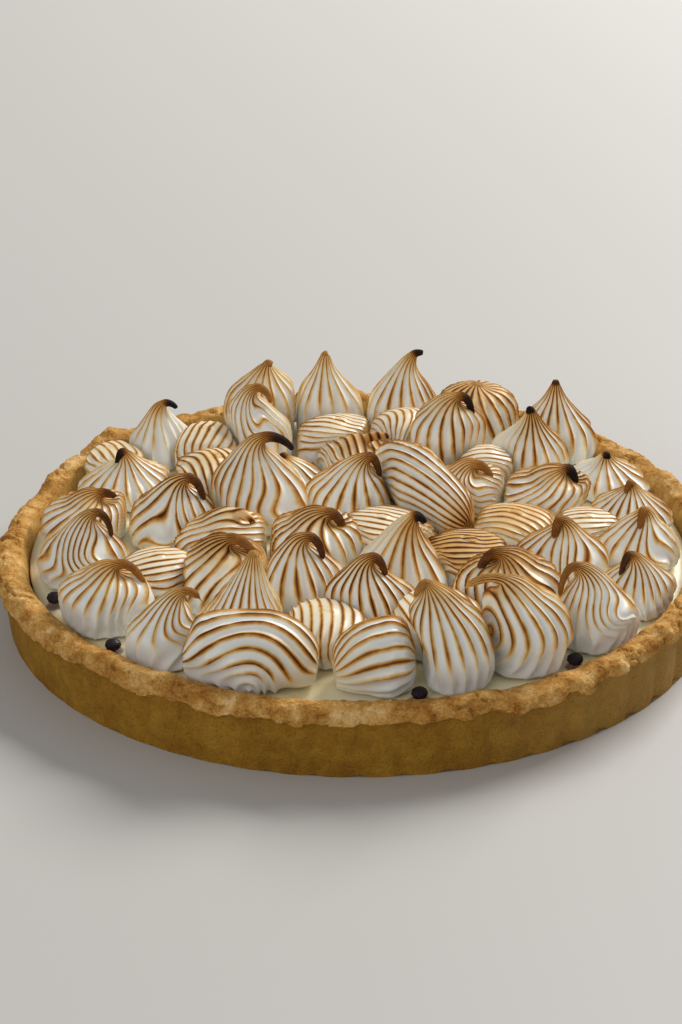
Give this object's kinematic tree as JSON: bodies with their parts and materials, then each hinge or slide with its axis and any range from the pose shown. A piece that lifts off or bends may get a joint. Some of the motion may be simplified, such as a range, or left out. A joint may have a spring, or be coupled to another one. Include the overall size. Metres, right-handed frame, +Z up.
{
  "type": "meringue crostata",
  "caption": "Round fluted pastry tart filled with pale custard cream and covered with torched piped meringue peaks, for display or serving whole.",
  "frame": {"origin": "middle of the flat underside of the pastry shell", "axes": "+Z up out of the tart; -Y towards the viewer of the picture; +X to the viewer's right"},
  "size_m": [0.2617, 0.2606, 0.0569],
  "materials": {
    "pastry": "baked shortcrust pastry, golden, matt and finely cracked",
    "custard": "set custard cream, pale yellow, smooth and faintly moist",
    "meringue": "glossy white meringue with torched brown crests and dark tips",
    "berry": "dark soft fruit, nearly black, wet"
  },
  "bodies": {
    "root": {"crust": "pastry", "cream": "custard", "dark_berry_1": "berry", "dark_berry_2": "berry", "dark_berry_3": "berry", "dark_berry_4": "berry", "dollop_01": "meringue", "dollop_02": "meringue", "dollop_03": "meringue", "dollop_04": "meringue", "dollop_05": "meringue", "dollop_06": "meringue", "dollop_07": "meringue", "dollop_08": "meringue", "dollop_09": "meringue", "dollop_10": "meringue", "dollop_11": "meringue", "dollop_12": "meringue", "dollop_13": "meringue", "dollop_14": "meringue", "dollop_15": "meringue", "dollop_16": "meringue", "dollop_17": "meringue", "dollop_18": "meringue", "dollop_19": "meringue", "dollop_20": "meringue", "dollop_21": "meringue", "dollop_22": "meringue", "dollop_23": "meringue", "dollop_24": "meringue", "dollop_25": "meringue", "dollop_26": "meringue", "dollop_27": "meringue", "dollop_28": "meringue", "dollop_29": "meringue", "dollop_30": "meringue", "dollop_31": "meringue", "dollop_32": "meringue", "dollop_33": "meringue", "dollop_34": "meringue", "dollop_35": "meringue", "dollop_36": "meringue", "dollop_37": "meringue", "dollop_38": "meringue", "dollop_39": "meringue", "dollop_40": "meringue", "dollop_41": "meringue", "dollop_42": "meringue", "dollop_43": "meringue", "dollop_44": "meringue", "dollop_45": "meringue", "dollop_46": "meringue", "dollop_47": "meringue", "dollop_48": "meringue", "dollop_49": "meringue", "dollop_50": "meringue", "dollop_51": "meringue", "dollop_52": "meringue", "dollop_53": "meringue"}
  },
  "joints": []
}
